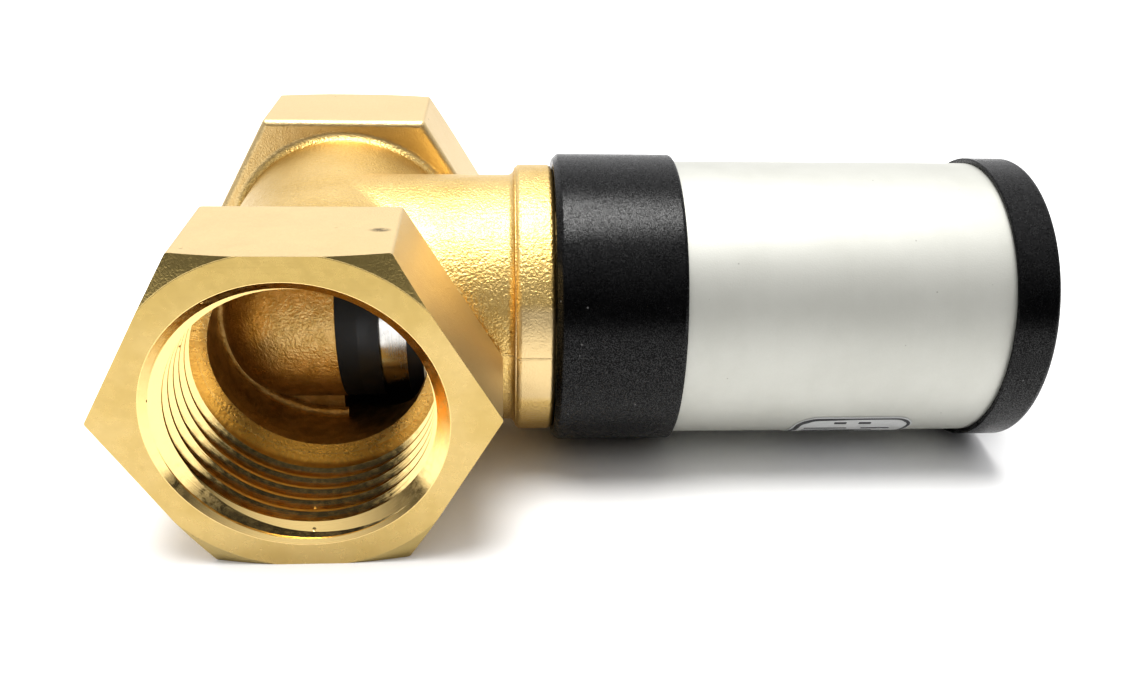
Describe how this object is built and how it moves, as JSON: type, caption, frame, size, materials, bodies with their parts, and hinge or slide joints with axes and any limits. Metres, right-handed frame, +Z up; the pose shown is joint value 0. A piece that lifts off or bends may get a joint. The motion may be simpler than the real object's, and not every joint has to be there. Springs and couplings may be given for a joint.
{
  "type": "solenoid valve",
  "caption": "Servo-piston solenoid valve: brass body with in-line female pipe ports, a cylindrical coil housing at right angles to them, and a round plug-in power inlet in the end cap.",
  "frame": {"origin": "on the port axis, at the section where the inlet port's full thread begins (just inside the mouth chamfer)", "axes": "+Y along the ports from inlet to outlet, +X along the solenoid from the brass body to the end cap, +Z up as the valve lies on the flats of its hexagons"},
  "size_m": [0.122, 0.0655, 0.04],
  "materials": {
    "brass": "sand-blasted casting, pale gold",
    "turned_brass": "turned",
    "sleeve_plastic": "natural low-friction plastic",
    "rubber": "moulded",
    "black_plastic": "moulded",
    "stainless": "turned bright",
    "spring_steel": "drawn wire",
    "magnetic_steel": "ground",
    "zinc_steel": "zinc plated",
    "bobbin_plastic": "moulded",
    "copper": "enamelled copper wire",
    "tape": "film tape",
    "lead_insulation": "insulated lead",
    "black_coating": "fine textured black coating",
    "aluminium": "satin",
    "plate": "printed film",
    "nickel": "nickel plated",
    "insulator_plastic": "moulded",
    "gold": "gold plated"
  },
  "bodies": {
    "root": {"valve_body": "brass", "guide_sleeve": "sleeve_plastic", "bonnet": "turned_brass", "bonnet_o_ring": "rubber", "piston_spring": "spring_steel", "armature_spring": "spring_steel", "core_tube": "stainless", "fixed_core": "magnetic_steel", "front_pole_washer": "zinc_steel", "rear_pole_washer": "zinc_steel", "coil_bobbin": "bobbin_plastic", "coil_winding": "copper", "winding_tape": "tape", "coil_yoke": "zinc_steel", "disc_spring": "spring_steel", "clamp_washer": "zinc_steel", "retaining_nut": "zinc_steel", "lead_wires": "lead_insulation", "housing_ring": "black_coating", "housing_tube": "aluminium", "front_tube_seal": "rubber", "rear_tube_seal": "rubber", "end_cap": "black_coating", "rating_plate": "plate", "inlet_shell": "nickel", "inlet_insulator": "insulator_plastic", "inlet_pins": "gold", "inlet_gasket": "rubber", "inlet_locknut": "nickel"},
    "piston": {"main_seal": "rubber", "seal_holder": "black_plastic", "seal_retainer": "stainless", "clamp_ring": "stainless", "piston_body": "black_plastic", "piston_ring": "sleeve_plastic", "pilot_seat": "stainless", "lifting_cage": "stainless"},
    "armature": {"armature": "magnetic_steel", "pilot_seal": "rubber"}
  },
  "joints": [
    {"name": "piston_slide", "type": "slide", "parent": "root", "child": "piston", "axis": [1, 0, 0], "range_m": [0, 0.0055], "deforming": ["piston_spring"]},
    {"name": "armature_slide", "type": "slide", "parent": "root", "child": "armature", "axis": [1, 0, 0], "range_m": [0, 0.0073], "deforming": ["armature_spring"]}
  ],
  "couplings": [
    {"joint": "piston_slide", "follows": "armature_slide", "ratio": 0.75343}
  ]
}
